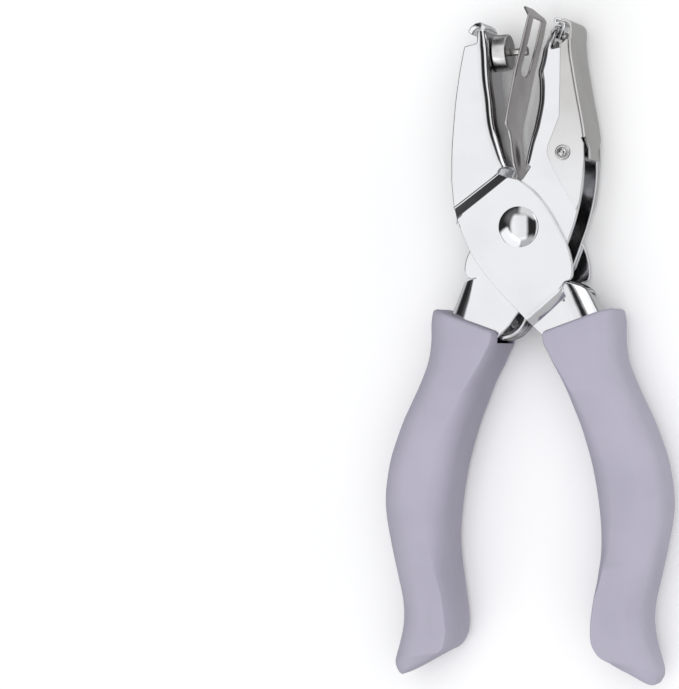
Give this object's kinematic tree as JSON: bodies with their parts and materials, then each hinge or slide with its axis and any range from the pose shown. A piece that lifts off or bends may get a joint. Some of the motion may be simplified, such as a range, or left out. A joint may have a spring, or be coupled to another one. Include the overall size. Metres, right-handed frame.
{
  "type": "circle hand punch",
  "caption": "Plier-style hand punch with a thin round punch, slotted stripper leaf, hinged chip cover, spring-opened levers and soft vinyl grips.",
  "frame": {"origin": "pivot axis on the table plane, which the rivet's flat tail and the backs of the grips rest on", "axes": "+Y from the pivot towards the jaws, +Z out of the table along the pivot, +X towards the die side"},
  "size_m": [0.0632, 0.1456, 0.0184],
  "materials": {
    "chrome_sheet": "bright chrome plate",
    "plain_steel": "turned and drawn steel",
    "satin_leaf": "satin nickel plate",
    "lavender_vinyl": "matte dipped vinyl"
  },
  "bodies": {
    "punch_side": {"punch_lever": "chrome_sheet", "right_grip": "lavender_vinyl", "pivot_rivet": "chrome_sheet", "pivot_washer": "plain_steel", "punch_holder": "plain_steel", "punch_pin": "plain_steel", "punch_backing_washer": "plain_steel"},
    "die_side": {"die_lever": "chrome_sheet", "left_grip": "lavender_vinyl", "pivot_sleeve": "plain_steel", "die_bush": "plain_steel", "cover_hinge_pin": "plain_steel", "cover_hinge_eyelet_front": "plain_steel", "cover_hinge_eyelet_back": "plain_steel", "catch_rivet": "plain_steel", "return_spring": "plain_steel"},
    "stripper_leaf": {"stripper": "satin_leaf"},
    "cover": {"chip_cover": "satin_leaf"},
    "catch": {"cover_catch": "satin_leaf"}
  },
  "joints": [
    {"name": "squeeze", "type": "hinge", "parent": "punch_side", "child": "die_side", "pos_m": [0, 0, 0.009], "axis": [0, 0, 1], "range_deg": [0, 8.6], "stiffness_Nm_per_rad": 0.6, "springref_deg": -20.05, "deforming": ["return_spring"]},
    {"name": "stripper_swing", "type": "hinge", "parent": "punch_side", "child": "stripper_leaf", "pos_m": [0, 0, 0.009], "axis": [0, 0, 1], "range_deg": [0, 4.05]},
    {"name": "cover_swing", "type": "hinge", "parent": "die_side", "child": "cover", "pos_m": [0.0096, 0.0158, 0.009], "axis": [0, 0, -1], "range_deg": [0, 24]},
    {"name": "catch_flex", "type": "hinge", "parent": "die_side", "child": "catch", "pos_m": [0.00756, 0.04131, 0.009], "axis": [0, 0, 1], "range_deg": [0, 5], "stiffness_Nm_per_rad": 0.05, "springref_deg": -11.46}
  ],
  "couplings": [
    {"joint": "stripper_swing", "follows": "squeeze", "ratio": 0.465}
  ]
}
